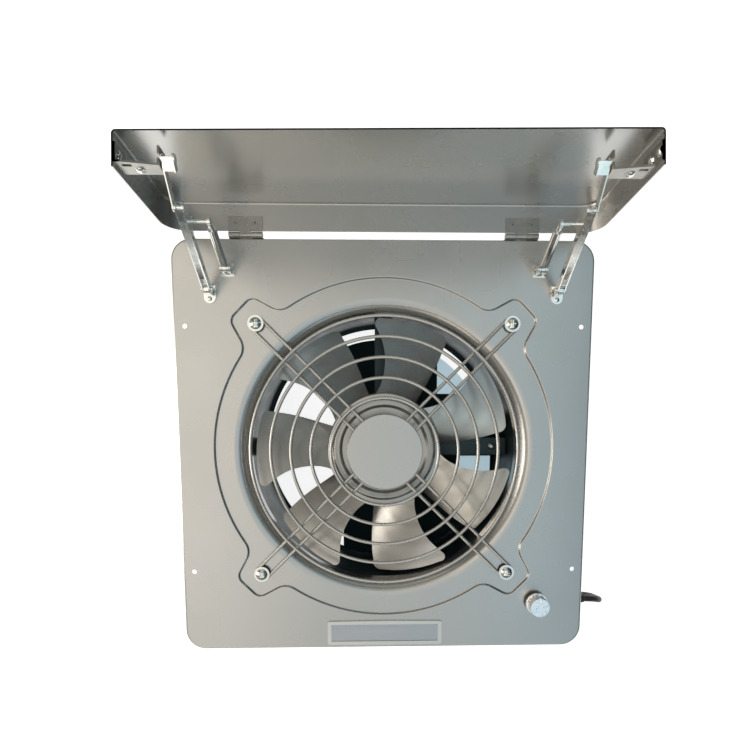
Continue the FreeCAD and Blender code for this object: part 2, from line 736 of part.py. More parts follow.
def duct_grommet():
    ring = tube(5.15, 2.6, 4, ("grommet_reach", "-grommet_reach", "-grommet_z"), (1, -1, 0))
    flange = tube(7, 2.6, 1.2, ("grommet_reach + 2.4", "-grommet_reach - 2.4", "-grommet_z"), (1, -1, 0))
    return fuse(ring, flange)


# ---------------------------------------------------------------- hinges and lid
def knuckle(centre, low, high):
    return cylinder("knuckle", "%s - (%s)" % (high, low),
                    ("%s + %s" % (centre, low), "hinge_y", "rim_depth"), (1, 0, 0))


def pin_bore(centre):
    return cylinder("hinge_pin + 0.05", "hinge_width + 2", ("%s - hinge_width / 2 - 1" % centre, "hinge_y", "rim_depth"),
                    (1, 0, 0))


def panel_hinge_leaves():
    """Two outer knuckles and a leaf down the rim's side, for each hinge."""
    leaves = []
    for sign, _ in SIDES:
        centre = "%d * hinge_x" % sign
        leaf = block("hinge_width", 1, 11.4, ("%s - hinge_width / 2" % centre, "panel_side / 2 + 0.02",
                                              "rim_depth - 11.6"))
        ends = [knuckle(centre, "-hinge_width / 2", "-hinge_width / 6 - 0.15"),
                knuckle(centre, "hinge_width / 6 + 0.15", "hinge_width / 2")]
        gap = block("hinge_width / 3 + 0.3", 2, 6, ("%s - hinge_width / 6 - 0.15" % centre, "panel_side / 2",
                                                    "rim_depth - 3.2"))
        leaves.append(cut(fuse(leaf, *ends), pin_bore(centre), gap))
    return group(*leaves)


def hinge_pins():
    return group(*[cylinder("hinge_pin", "hinge_width + 0.6", ("%d * hinge_x - hinge_width / 2 - 0.3" % sign,
                                                               "hinge_y", "rim_depth"), (1, 0, 0))
                   for sign, _ in SIDES])


LEAF_FACE = "lid_side / 2 - skin"
RIVET_HEIGHT = "rim_depth + 10"
RIVET_PLACES = (-9, 9)


def rivet_holes():
    return [cylinder(1.3, 3, ("%d * hinge_x + %s" % (sign, x), "%s - 1" % LEAF_FACE, RIVET_HEIGHT), (0, 1, 0))
            for sign, _ in SIDES for x in RIVET_PLACES]


def hinge_rivets():
    """Hollow countersunk rivets through each lid leaf and the flange behind it."""
    rivets = []
    for sign, _ in SIDES:
        for x in RIVET_PLACES:
            at = "%d * hinge_x + %s" % (sign, x)
            head = cone(2.15, 1.28, 1.0, (at, "%s - 0.98" % LEAF_FACE, RIVET_HEIGHT), (0, 1, 0))
            stem = cylinder(1.28, "skin + 1.2", (at, "%s - 0.2" % LEAF_FACE, RIVET_HEIGHT), (0, 1, 0))
            rolled = cylinder(2.2, 0.7, (at, "%s + skin + 0.02" % LEAF_FACE, RIVET_HEIGHT), (0, 1, 0))
            bore = cylinder(0.9, 2.4, (at, "%s - 1.1" % LEAF_FACE, RIVET_HEIGHT), (0, 1, 0))
            rivets.append(cut(fuse(head, stem, rolled), bore))
    return group(*rivets)


def lid_hinge_leaves():
    """Centre knuckle and a leaf up the inside of the lid's rear flange."""
    leaves = []
    for sign, _ in SIDES:
        centre = "%d * hinge_x" % sign
        leaf = block("hinge_width", 1, 13, ("%s - hinge_width / 2" % centre, "%s - 1.02" % LEAF_FACE,
                                            "rim_depth + 3.2"))
        neck = block("hinge_width / 3 - 0.3", 1, 4, ("%s - hinge_width / 6 + 0.15" % centre, "%s - 1.02" % LEAF_FACE,
                                                     "rim_depth"))
        middle = knuckle(centre, "-hinge_width / 6 + 0.15", "hinge_width / 6 - 0.15")
        holes = [cone(1.3, 2.4, 1.3, ("%s + %s" % (centre, x), "%s + 0.1" % LEAF_FACE, RIVET_HEIGHT), (0, -1, 0))
                 for x in RIVET_PLACES]
        leaves.append(cut(fuse(leaf, neck, middle), cylinder("hinge_pin + 0.05", 20, ("%s - 10" % centre, "hinge_y",
                                                                                      "rim_depth"), (1, 0, 0)),
                          *holes))
    return group(*leaves)


def lid_panel():
    """Shallow pan, open towards the panel when shut."""
    outer = pan("lid_side", "lid_top - lid_rim", "panel_corner", "lid_bend")
    inner = pan("lid_side - 2 * skin", "lid_top - lid_rim - skin", "panel_corner - skin", "lid_bend - skin")
    return cut(place(cut(outer, inner), (0, 0, "rim_depth + lid_rim")), *rivet_holes())


def closed_bracket_pivot():
    """Lid-end pivot of the stay with the lid shut, as (y, z)."""
    y = size("foot_y") + size("lower_length") * math.cos(math.radians(size("lower_angle")))
    z = size("foot_rise") + size("lower_length") * math.sin(math.radians(size("lower_angle")))
    y += size("upper_length") * math.cos(math.radians(size("upper_angle"))) - size("hinge_y")
    z += size("upper_length") * math.sin(math.radians(size("upper_angle")))
    turn = math.radians(size("lid_angle"))
    return (size("hinge_y") + y * math.cos(turn) - z * math.sin(turn),
            size("rim_depth") + y * math.sin(turn) + z * math.cos(turn))


def lid_bracket(sign):
    """Ear beside the arm, slotted gusset and a foot on the lid's side flange."""
    y, z = closed_bracket_pivot()
    ear_x = size("arm_x") + 5.2
    wall_x = size("lid_side") / 2 - size("skin")
    low = z - 7.5
    corners = [(ear_x, y - 4), (wall_x - 1, y - 9), (wall_x - 1, y + 9), (ear_x, y + 9)]
    if sign < 0:
        corners = [(-x, along) for x, along in reversed(corners)]
    parts = [place(padded(corners, 1.5), (0, 0, low))]
    for x, wide, front, deep in ((ear_x, 1.5, y - 4, 13), (wall_x - 1.6, 1.6, y - 24, 33)):
        parts.append(block(wide, deep, 15, (x if sign > 0 else -x - wide, front, low)))
    slot_x = ear_x + 20
    slot = block(7, 3, 6, (slot_x if sign > 0 else -slot_x - 7, y - 5, low - 2))
    ear_slot = block(6, 9, 3.4, (ear_x - 2 if sign > 0 else -ear_x - 4, y - 4.5, z - 1.7))
    holes = [cylinder(1.65, 6, tuple(V(*at) - V(*axis) * 3), axis) for at, axis in bracket_seats(sign)]
    return cut(fuse(*parts), slot, ear_slot, *holes)


def lid_brackets():
    return group(*[lid_bracket(sign) for sign, _ in SIDES])


def bracket_seats(sign):
    """Seat and outward direction of the shelf screw and of the two in the side flange."""
    y, z = closed_bracket_pivot()
    wall_x = size("lid_side") / 2 - size("skin") - 1.6
    return [((sign * (size("arm_x") + 21), y + 2.5, z - 7.5), (0, 0, -1)),
            ((sign * wall_x, y - 15, z), (-sign, 0, 0)),
            ((sign * wall_x, y - 3, z), (-sign, 0, 0))]


def lid_bracket_screws():
    return group(*[side_screw(at, axis) for sign, _ in SIDES for at, axis in bracket_seats(sign)])


def side_screw(at, axis):
    """Small pan-head screw whose seat is at the given place, head towards axis."""
    x, y, z = at
    direction = V(*axis)
    back = V(x, y, z) - direction * 1.4
    stem = cylinder(1.6, 1.5, tuple(back), axis)
    centre = V(x, y, z) - direction * 2.4
    head = common(ball(4.8, tuple(centre)), cylinder(3.8, 4, at, axis))
    cross = V(x, y, z) + direction * 1.6
    across = direction.cross(V(1, 1, 1)).normalize()
    arms = fuse(*[cylinder(0.45, 3.4, tuple(cross - offset * 1.7), tuple(offset))
                  for offset in (across, direction.cross(across))])
    return cut(fuse(head, stem), arms)


# ---------------------------------------------------------------- folding stays
def channel(length, half_width, skin, web_start, web_end, web_side):
    """Two side bars about X with a web between them; round ends."""
    bars = []
    for low in (half_width - skin, -half_width):
        bars.append(block(length, 7, skin, (0, -3.5, low)))
        bars.append(cylinder(3.5, skin, (0, 0, low)))
        bars.append(cylinder(3.5, skin, (length, 0, low)))
    web_y = 3.5 - skin if web_side > 0 else -3.5
    bars.append(block(web_end - web_start, skin, 2 * half_width, (web_start, web_y, -half_width)))
    return bars


def seat_arm(arm, x, y, z, angle):
    """Stand a flat-lying arm in the upright plane X = x, its length at the given angle from +Y."""
    turn = FreeCAD.Rotation(V(1, 0, 0), angle) * FreeCAD.Rotation(V(1, 1, 1), 120)
    holder = group(arm)
    holder.Placement = FreeCAD.Placement(V(x, y, z), turn)
    return holder


def lower_arm(sign):
    length = size("lower_length")
    half = size("arm_half")
    skin = size("arm_skin")
    inward = -sign
    bars = channel(length, half, skin, 9, length - 6, -1)
    plate_low = half - skin if inward > 0 else -half
    lug_x, lug_y = size("lug_along"), -size("lug_drop")
    bars.append(block(8, -lug_y, skin, (lug_x - 4, lug_y, plate_low)))
    bars.append(cylinder(4, skin, (lug_x, lug_y, plate_low)))
    stud = size("arm_x") - size("strut_x") - half - 1.7
    bars.append(cylinder(1.5, stud + 0.5, (lug_x, lug_y, half - 0.5 if inward > 0 else -half - stud)))
    rivet = cylinder(1.5, 2 * half + 1.6, (length, 0, -half - 1.6 if inward > 0 else -half))
    inner_head, outer_head = (half, -half - 1.75) if inward > 0 else (-half - 0.5, half + 1.25)
    heads = [cylinder(2.6, 0.5, (length, 0, level)) for level in (inner_head, outer_head)]
    body = cut(fuse(*bars), cylinder(1.55, 20, (0, 0, -10)))
    arm = fuse(body, rivet, *heads)
    z = size("rim_depth") + size("foot_rise")
    return seat_arm(arm, sign * size("arm_x"), size("foot_y"), z, size("lower_angle"))


def upper_arm(sign):
    """Channel whose inner bar stops short of the elbow, so that it folds past the damper's stud."""
    length = size("upper_length")
    half = size("arm_half") + 1.1
    skin = size("arm_skin")
    bars = channel(length, half, skin, 27, length + 2, 1)
    stud_gap = block(30, 8, skin + 0.1, (-4, -4, half - skin if sign < 0 else -half - 0.1))
    body = cut(fuse(*bars), cylinder(1.55, 20, (0, 0, -10)), stud_gap)
    thick, thin = (length, 0, -half - 0.9), (length, 0, half - 0.05)
    if sign < 0:
        thick, thin = (length, 0, half), (length, 0, -half - 0.35)
    rivet = fuse(cylinder(1.5, 2 * half, (length, 0, -half)), cylinder(3, 0.9, thick), cylinder(3, 0.4, thin))
    turn = math.radians(size("lower_angle"))
    y = size("foot_y") + size("lower_length") * math.cos(turn)
    z = size("rim_depth") + size("foot_rise") + size("lower_length") * math.sin(turn)
    return seat_arm(fuse(body, rivet), sign * size("arm_x"), y, z, size("upper_angle"))


def strut_cylinder(sign):
    barrel = cut(cylinder(3.8, 39, (6, 0, 0), (1, 0, 0)), cylinder(2.8, 39, (7, 0, 0), (1, 0, 0)))
    cap = tube(3.4, 2.06, 2.4, (42.8, 0, 0), (1, 0, 0))
    eye = fuse(cylinder(3.6, 3.6, (0, 0, -1.8)), block(7, 3.6, 3.6, (0, -1.8, -1.8)))
    body = cut(fuse(barrel, cap, eye), cylinder(1.45, 20, (0, 0, -10)))
    z = size("rim_depth") + size("foot_rise")
    return seat_arm(body, sign * size("strut_x"), size("strut_y"), z, size("strut_angle"))


def strut_rod(sign):
    reach = size("strut_length")
    rod = cylinder(2.0, reach - 9.5, (7.5, 0, 0), (1, 0, 0))
    piston = cylinder(2.7, 2.2, (7.3, 0, 0), (1, 0, 0))
    eye = cylinder(3.6, 2.6, (reach, 0, -1.3))
    z = size("rim_depth") + size("foot_rise")
    return seat_arm(fuse(rod, piston, eye), sign * size("strut_x"), size("strut_y"), z, size("strut_angle"))


def arm_feet():
    """Riveted plate with a thick ear that the lower arm straddles."""
    feet = []
    for sign, _ in SIDES:
        x = "%d * arm_x" % sign
        base = fuse(block(11, 12, 1.4, ("%s - 5.5" % x, "foot_y - 6", "rim_depth + 0.02")),
                    cylinder(5.5, 1.4, (x, "foot_y - 6", "rim_depth + 0.02")))
        ear = block(4.4, 8, "foot_rise", ("%s - 2.2" % x, "foot_y - 4", "rim_depth + 0.02"))
        crown = cylinder(4, 4.4, ("%s - 2.2" % x, "foot_y", "rim_depth + foot_rise"), (1, 0, 0))
        rivet = common(ball(3, (x, "foot_y - 7.5", "rim_depth - 0.3")),
                       cylinder(2.2, 4, (x, "foot_y - 7.5", "rim_depth + 0.5")))
        bore = cylinder(1.5, 10, ("%s - 5" % x, "foot_y", "rim_depth + foot_rise"), (1, 0, 0))
        feet.append(cut(fuse(base, ear, crown, rivet), bore))
    return group(*feet)


def strut_feet():
    feet = []
    for sign, _ in SIDES:
        x = "%d * strut_x" % sign
        base = block(13, 12, 1.4, ("%s - 6.5" % x, "strut_y - 6", "rim_depth + 0.02"))
        ears = []
        for offset in (-3.4, 2.2):
            ears.append(block(1.2, 7.2, "foot_rise", ("%s + %s" % (x, offset), "strut_y - 3.6", "rim_depth + 0.02")))
            ears.append(cylinder(3.6, 1.2, ("%s + %s" % (x, offset), "strut_y", "rim_depth + foot_rise"), (1, 0, 0)))
        bore = cylinder(1.4, 12, ("%s - 6" % x, "strut_y", "rim_depth + foot_rise"), (1, 0, 0))
        feet.append(cut(fuse(base, *ears), bore))
    return group(*feet)


def stay_pins():
    """Headed pins at the arm and strut feet."""
    pins = []
    for sign, _ in SIDES:
        for at_x, at_y, reach in (("arm_x", "foot_y", 4.6), ("strut_x", "strut_y", 4.2)):
            x = "%d * %s" % (sign, at_x)
            radius = 1.5 if at_x == "arm_x" else 1.4
            level = "rim_depth + foot_rise"
            pins.append(fuse(cylinder(radius - 0.005, 2 * reach, ("%s - %s" % (x, reach), at_y, level), (1, 0, 0)),
                             cylinder(2.4, 0.7, ("%s - %s" % (x, reach + 0.6), at_y, level), (1, 0, 0)),
                             cylinder(2.4, 0.7, ("%s + %s" % (x, reach - 0.1), at_y, level), (1, 0, 0))))
    return group(*pins)


# ---------------------------------------------------------------- assembly
def open_lid(piece):
    """Swing a piece modelled with the lid shut about the hinge to the open stop."""
    turn = FreeCAD.Rotation(V(1, 0, 0), -size("lid_angle"))
    centre = V(0, size("hinge_y"), size("rim_depth"))
    holder = group(piece)
    holder.Placement = FreeCAD.Placement(centre - turn.multVec(centre), turn)
    return holder


FIXED = (front_panel, nameplate, duct_ring, guard_rings, guard_legs, guard_disc, guard_screws, guard_washers,
         motor_bracket, bracket_tabs, motor_front_shell, motor_rear_shell, motor_bearings, stator_core,
         stator_windings, speed_control, run_capacitor, cable_gland, strain_relief, cord_coil, cord_tie,
         mains_plug, plug_pins, duct_grommet, panel_hinge_leaves, hinge_pins, arm_feet, strut_feet, stay_pins)
TURNING = (rotor_core, rotor_shaft, fan_hub, hub_nut, control_shaft, speed_knob)
ON_LID = (lid_panel, lid_hinge_leaves, hinge_rivets, lid_brackets, lid_bracket_screws)


def build():
    for make in FIXED + TURNING:
        node(make(), make.__name__)
    node(cut(control_box(), lug_clearance()), "control_box")
    node(ring_of_screws(117, 3.6, 5, "strap_skin - strap_z"), "bracket_screws")
    node(ring_of_screws(28, 3.6, 4, "strap_skin - strap_z"), "motor_screws")
    node(lead_solid(LEAD, size("cord"), "power_cord"), "power_cord")
    node(lead_solid(MOTOR_LEAD, 2.5, "motor_lead"), "motor_lead")
    fan_blades()
    for make in ON_LID:
        node(open_lid(make()), make.__name__)
    for sign, side in SIDES:
        for make in (lower_arm, upper_arm, strut_cylinder, strut_rod):
            node(make(sign), "%s_%s" % (make.__name__, side))


def check():
    doc.recompute()
    faults = [obj.Name for obj in doc.Objects if "Invalid" in obj.State or "Error" in obj.State]
    for name, obj in NODES.items():
        if obj.Shape.isNull() or not obj.Shape.isValid() or not obj.Shape.Solids:
            faults.append(name)
    if faults:
        raise RuntimeError("failed: " + ", ".join(faults))


def write():
    os.makedirs("parts", exist_ok=True)
    for name, obj in NODES.items():
        solids = obj.Shape.Solids
        shape = solids[0] if len(solids) == 1 else Part.makeCompound(solids)
        shape.exportStep("parts/%s.step" % name)
    print(len(NODES), "nodes")


build()
check()
write()
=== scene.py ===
import json
import math

import bpy
import bmesh
from mathutils import Matrix, Vector


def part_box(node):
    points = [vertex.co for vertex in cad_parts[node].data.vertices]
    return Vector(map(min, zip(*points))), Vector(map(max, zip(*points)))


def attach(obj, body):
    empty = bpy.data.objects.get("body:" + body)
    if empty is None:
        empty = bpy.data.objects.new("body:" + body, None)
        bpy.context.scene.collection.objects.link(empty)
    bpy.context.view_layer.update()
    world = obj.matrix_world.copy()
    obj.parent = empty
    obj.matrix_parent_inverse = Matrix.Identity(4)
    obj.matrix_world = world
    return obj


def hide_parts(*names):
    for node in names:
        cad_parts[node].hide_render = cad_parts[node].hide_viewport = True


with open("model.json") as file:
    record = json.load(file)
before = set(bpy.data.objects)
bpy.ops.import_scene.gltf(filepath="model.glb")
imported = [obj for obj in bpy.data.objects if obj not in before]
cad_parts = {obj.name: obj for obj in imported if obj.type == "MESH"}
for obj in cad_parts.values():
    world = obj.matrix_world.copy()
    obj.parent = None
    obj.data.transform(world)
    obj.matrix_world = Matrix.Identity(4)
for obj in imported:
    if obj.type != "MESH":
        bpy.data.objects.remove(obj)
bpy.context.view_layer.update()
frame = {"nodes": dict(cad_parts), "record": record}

MM = 0.001
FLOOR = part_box("duct_ring")[0][2]
KNUCKLE_RADIUS = 2.75 * MM
# The panel's front face is level with the hinge axis.
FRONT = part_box("panel_hinge_leaves")[1][2] - KNUCKLE_RADIUS


# ---------------------------------------------------------------- camera and lights
SENSOR_MM = 36.0
LENS_MM = 25.92
SHIFT_X, SHIFT_Y = -0.0107, 0.112
NEAR_PLANE = 0.393           # the picture ends part of the way up the raised lid
CAMERA_PLACE = (-0.0137, 0.0501, FRONT + 0.5248)
PITCH, YAW, ROLL = (math.radians(degrees) for degrees in (6.25, 1.32, 0.04))


def look_down_camera():
    """Stands over the fan, which lies on its back; the hinge edge is the nearer one."""
    data = bpy.data.cameras.new("camera")
    camera = bpy.data.objects.new("camera", data)
    bpy.context.collection.objects.link(camera)
    data.sensor_width = SENSOR_MM
    data.lens = LENS_MM
    data.shift_x = SHIFT_X
    data.shift_y = SHIFT_Y
    data.clip_start = NEAR_PLANE
    turn = Matrix.Rotation(-YAW, 4, "Y") @ Matrix.Rotation(-PITCH, 4, "X") @ Matrix.Rotation(-ROLL, 4, "Z")
    camera.matrix_world = Matrix.Translation(CAMERA_PLACE) @ turn
    bpy.context.scene.camera = camera


def area_light(name, place, target, size, power, color):
    data = bpy.data.lights.new(name, "AREA")
    data.shape = "RECTANGLE"
    data.size, data.size_y = size
    data.energy = power
    data.color = color
    lamp = bpy.data.objects.new(name, data)
    bpy.context.collection.objects.link(lamp)
    lamp.location = place
    lamp.rotation_euler = (Vector(target) - Vector(place)).to_track_quat("-Z", "Y").to_euler()


def ramp(tree, source, stops, low=-1.0, high=1.0):
    """Colour ramp over a stated range of its input."""
    scale = tree.nodes.new("ShaderNodeMapRange")
    scale.inputs["From Min"].default_value = low
    scale.inputs["From Max"].default_value = high
    tree.links.new(source, scale.inputs["Value"])
    node = tree.nodes.new("ShaderNodeValToRGB")
    marks = node.color_ramp.elements
    marks[0].position, marks[0].color = (stops[0][0] - low) / (high - low), (*stops[0][1], 1)
    marks[1].position, marks[1].color = (stops[-1][0] - low) / (high - low), (*stops[-1][1], 1)
    for value, color in stops[1:-1]:
        mark = marks.new((value - low) / (high - low))
        mark.color = (*color, 1)
    tree.links.new(scale.outputs["Result"], node.inputs["Fac"])
    return node.outputs["Color"]


def multiply(tree, first, second):
    node = tree.nodes.new("ShaderNodeMix")
    node.data_type = "RGBA"
    node.blend_type = "MULTIPLY"
    node.inputs["Factor"].default_value = 1.0
    tree.links.new(first, node.inputs["A"])
    tree.links.new(second, node.inputs["B"])
    return node.outputs["Result"]


# The room's light is the product of three ramps, one over each component of the view direction.
ROOM_ACROSS = [
    (-1.0, (1.1, 1.0, 0.86)), (-0.64, (0.50, 0.46, 0.40)), (-0.48, (0.50, 0.48, 0.43)),
    (-0.35, (1.72, 1.61, 1.47)), (-0.17, (0.95, 0.94, 0.88)), (0.05, (0.80, 0.82, 0.80)),
    (0.35, (0.76, 0.97, 1.08)), (0.44, (0.13, 0.19, 0.22)), (0.66, (0.20, 0.25, 0.26)),
    (1.0, (0.01, 0.018, 0.022))]
ROOM_AHEAD = [
    (-1.0, (0.20, 0.21, 0.20)), (-0.88, (0.40, 0.40, 0.38)), (-0.72, (1.50, 1.46, 1.37)),
    (-0.53, (0.60, 0.61, 0.60)), (-0.42, (0.78, 0.80, 0.82)), (-0.2, (0.92, 0.92, 0.92)),
    (0.0, (0.86, 0.86, 0.85)), (0.26, (1.0, 0.98, 0.94)), (0.42, (0.50, 0.50, 0.48)),
    (1.0, (0.4, 0.4, 0.4))]
ROOM_HEIGHT = [(-0.1, (0.25, 0.25, 0.25)), (0.3, (0.6, 0.6, 0.6)), (0.7, (1, 1, 1))]


def studio():
    """A room with a warm window to the left; it falls off to slate on the right and behind the viewer."""
    area_light("window", place=(-1.6, -0.1, 0.55), target=(0, 0, 0.05), size=(0.7, 1.4), power=12,
               color=(1.0, 0.94, 0.85))
    world = bpy.data.worlds.new("studio")
    bpy.context.scene.world = world
    world.use_nodes = True
    tree = world.node_tree
    background = tree.nodes["Background"]
    place = tree.nodes.new("ShaderNodeTexCoord")
    split = tree.nodes.new("ShaderNodeSeparateXYZ")
    tree.links.new(place.outputs["Generated"], split.inputs[0])
    across = ramp(tree, split.outputs["X"], ROOM_ACROSS)
    ahead = ramp(tree, split.outputs["Y"], ROOM_AHEAD)
    height = ramp(tree, split.outputs["Z"], ROOM_HEIGHT)
    tree.links.new(multiply(tree, multiply(tree, across, ahead), height), background.inputs["Color"])
    background.inputs["Strength"].default_value = 1.0
    bpy.context.scene.view_settings.view_transform = "Standard"


def math_node(tree, operation, first, second=None, third=None):
    node = tree.nodes.new("ShaderNodeMath")
    node.operation = operation
    for slot, value in zip(node.inputs, (first, second, third)):
        if isinstance(value, (int, float)):
            slot.default_value = value
        elif value is not None:
            tree.links.new(value, slot)
    return node.outputs[0]


FLOOR_REACH = 4.0
# Painted light and shade on the floor inside the duct's foot: a dark painted shade, with glowing patches
# of painted light at the left, at the back rim and in two cool spots.
WHITE_FROM = 0.1345                  # radius about the fan's axis
LIT_WITHIN = 0.130                   # radius that ends the lit parts inside the duct
LEFT_LIT_BELOW = -0.046              # X
BACK_LIT_FROM = (0.118, 0.03)        # radius, Y
PAINTED_COOL_LIGHT_PATCHES = (((0.083, 0.020), (0.081, 0.024)),      # centre and half width in X, then in Y
                ((0.108, 0.018), (-0.026, 0.011)))
PAINTED_COOL_LIGHT_SHARE = 0.72                    # how lit those patches are
# From the painted shade inside the duct, through the painted cool light, to the evenly white floor.
FLOOR_PAINTED_SHADE_AND_LIGHT = [(0, (0.02, 0.036, 0.042)), (PAINTED_COOL_LIGHT_SHARE, (0.50, 0.66, 0.74)), (1, (0.86, 0.86, 0.86))]
# Glow of the evenly white floor, and of the painted light patches inside the duct.
FLOOR_GLOW = 0.95


def pale_floor():
    """White floor. Inside the duct's foot it is painted dark as painted shade, but for glowing patches of
    painted light where light would come in from the left and round the rim."""
    mesh = bpy.data.meshes.new("floor")
    corners = ((-1, -1), (1, -1), (1, 1), (-1, 1))
    mesh.from_pydata([(x * FLOOR_REACH, y * FLOOR_REACH, FLOOR) for x, y in corners], [], [(0, 1, 2, 3)])
    floor = bpy.data.objects.new("floor", mesh)
    bpy.context.collection.objects.link(floor)
    material = bpy.data.materials.new("floor")
    material.use_nodes = True
    tree = material.node_tree
    shader = tree.nodes["Principled BSDF"]
    shader.inputs["Roughness"].default_value = 0.9
    shader.inputs["Specular IOR Level"].default_value = 0.1
    split = tree.nodes.new("ShaderNodeSeparateXYZ")
    tree.links.new(tree.nodes.new("ShaderNodeTexCoord").outputs["Object"], split.inputs[0])
    across, up = split.outputs["X"], split.outputs["Y"]

    def node(operation, *values):
        return math_node(tree, operation, *values)

    radius = node("SQRT", node("ADD", node("MULTIPLY", across, across), node("MULTIPLY", up, up)))
    outside = node("GREATER_THAN", radius, WHITE_FROM)
    # Masks of the painted light inside the duct: the left side, the back rim and two cool patches; the
    # rest inside is painted shade.
    left = node("LESS_THAN", across, LEFT_LIT_BELOW)
    back = node("MULTIPLY", node("GREATER_THAN", radius, BACK_LIT_FROM[0]),
                node("GREATER_THAN", up, BACK_LIT_FROM[1]))
    corner, side = (node("MULTIPLY", node("COMPARE", across, *in_x), node("COMPARE", up, *in_y))
                    for in_x, in_y in PAINTED_COOL_LIGHT_PATCHES)
    painted_cool_light = node("MULTIPLY", node("MAXIMUM", corner, side), PAINTED_COOL_LIGHT_SHARE)
    warm = node("MAXIMUM", left, back)
    inside = node("MULTIPLY", node("MAXIMUM", warm, painted_cool_light), node("LESS_THAN", radius, LIT_WITHIN))
    lit = node("MAXIMUM", outside, inside)
    color = ramp(tree, lit, FLOOR_PAINTED_SHADE_AND_LIGHT, 0.0, 1.0)
    tree.links.new(color, shader.inputs["Base Color"])
    tree.links.new(color, shader.inputs["Emission Color"])
    tree.links.new(node("MULTIPLY", lit, FLOOR_GLOW), shader.inputs["Emission Strength"])
    mesh.materials.append(material)


# ---------------------------------------------------------------- materials
NOISE_ROUGHNESS = 0.55
COAT_ROUGHNESS = 0.1
NOISE_LOW, NOISE_HIGH = 0.35, 0.65       # the span that most of a noise texture's values fall in
LEAST_ROUGHNESS = 0.02


class Surface:
    """A Principled material whose colour, roughness and bump come from procedural textures."""

    def __init__(self, name, color, metallic=0.0, roughness=0.4, coat=0.0):
        self.material = bpy.data.materials.new(name)
        self.material.use_nodes = True
        self.tree = self.material.node_tree
        self.shader = self.tree.nodes["Principled BSDF"]
        self.color = color
        self.roughness = roughness
        self.shader.inputs["Base Color"].default_value = (*color, 1)
        self.shader.inputs["Metallic"].default_value = metallic
        self.shader.inputs["Roughness"].default_value = roughness
        self.shader.inputs["Coat Weight"].default_value = coat
        self.shader.inputs["Coat Roughness"].default_value = COAT_ROUGHNESS
        self.place = self.tree.nodes.new("ShaderNodeTexCoord").outputs["Object"]

    def noise(self, scale, detail=3.0, stretch=(1, 1, 1)):
        mapping = self.tree.nodes.new("ShaderNodeMapping")
        mapping.inputs["Scale"].default_value = stretch
        self.tree.links.new(self.place, mapping.inputs["Vector"])
        texture = self.tree.nodes.new("ShaderNodeTexNoise")
        texture.inputs["Scale"].default_value = scale
        texture.inputs["Detail"].default_value = detail
        texture.inputs["Roughness"].default_value = NOISE_ROUGHNESS
        self.tree.links.new(mapping.outputs["Vector"], texture.inputs["Vector"])
        return texture.outputs["Fac"]

    def layers(self, scale):
        """Bands across Z."""
        texture = self.tree.nodes.new("ShaderNodeTexWave")
        texture.bands_direction = "Z"
        texture.inputs["Scale"].default_value = scale
        self.tree.links.new(self.place, texture.inputs["Vector"])
        return texture.outputs["Fac"]

    def tint(self, source, darker, lighter):
        """Base colour between two shades of its own, chosen by a texture."""
        shades = self.tree.nodes.new("ShaderNodeValToRGB")
        dark, light = shades.color_ramp.elements
        dark.position, light.position = 0.3, 0.7
        dark.color = (*[c * darker for c in self.color], 1)
        light.color = (*[min(1, c * lighter) for c in self.color], 1)
        self.tree.links.new(source, shades.inputs["Fac"])
        self.tree.links.new(shades.outputs["Color"], self.shader.inputs["Base Color"])
        return self

    def polish(self, source, spread):
        """Roughness that varies by `spread` either way, chosen by a texture."""
        node = self.tree.nodes.new("ShaderNodeMapRange")
        node.inputs["From Min"].default_value = NOISE_LOW
        node.inputs["From Max"].default_value = NOISE_HIGH
        node.inputs["To Min"].default_value = max(LEAST_ROUGHNESS, self.roughness - spread)
        node.inputs["To Max"].default_value = self.roughness + spread
        self.tree.links.new(source, node.inputs["Value"])
        self.tree.links.new(node.outputs["Result"], self.shader.inputs["Roughness"])
        return self

    def bump(self, source, distance, strength=0.3):
        node = self.tree.nodes.new("ShaderNodeBump")
        node.inputs["Distance"].default_value = distance
        node.inputs["Strength"].default_value = strength
        self.tree.links.new(source, node.inputs["Height"])
        self.tree.links.new(node.outputs["Normal"], self.shader.inputs["Normal"])
        return self


def satin_paint():
    """Champagne metallic powder coat: faint orange peel and slight cloudiness."""
    paint = Surface("painted_panel", (0.56, 0.555, 0.54), metallic=0.94, roughness=0.27)
    paint.tint(paint.noise(7, 2), 0.985, 1.015)
    paint.polish(paint.noise(14, 3), 0.02)
    return paint.bump(paint.noise(900, 2), 0.00006, 0.12).material


def fan_paint():
    paint = Surface("fan_metal", (0.50, 0.49, 0.47), metallic=0.85, roughness=0.24)
    paint.tint(paint.noise(18, 3), 0.95, 1.04)
    paint.polish(paint.noise(60, 4), 0.03)
    return paint.bump(paint.noise(500, 2), 0.00005, 0.15).material


def chrome():
    metal = Surface("chrome", (0.84, 0.84, 0.82), metallic=1.0, roughness=0.11)
    metal.polish(metal.noise(220, 4), 0.05)
    return metal.bump(metal.noise(700, 2), 0.00004, 0.15).material


FOIL_BORDER = 0.0038
FOIL_SHADES = [(0, (0.74, 0.73, 0.71)), (0.8, (0.44, 0.46, 0.50)), (1, (0.54, 0.56, 0.60))]


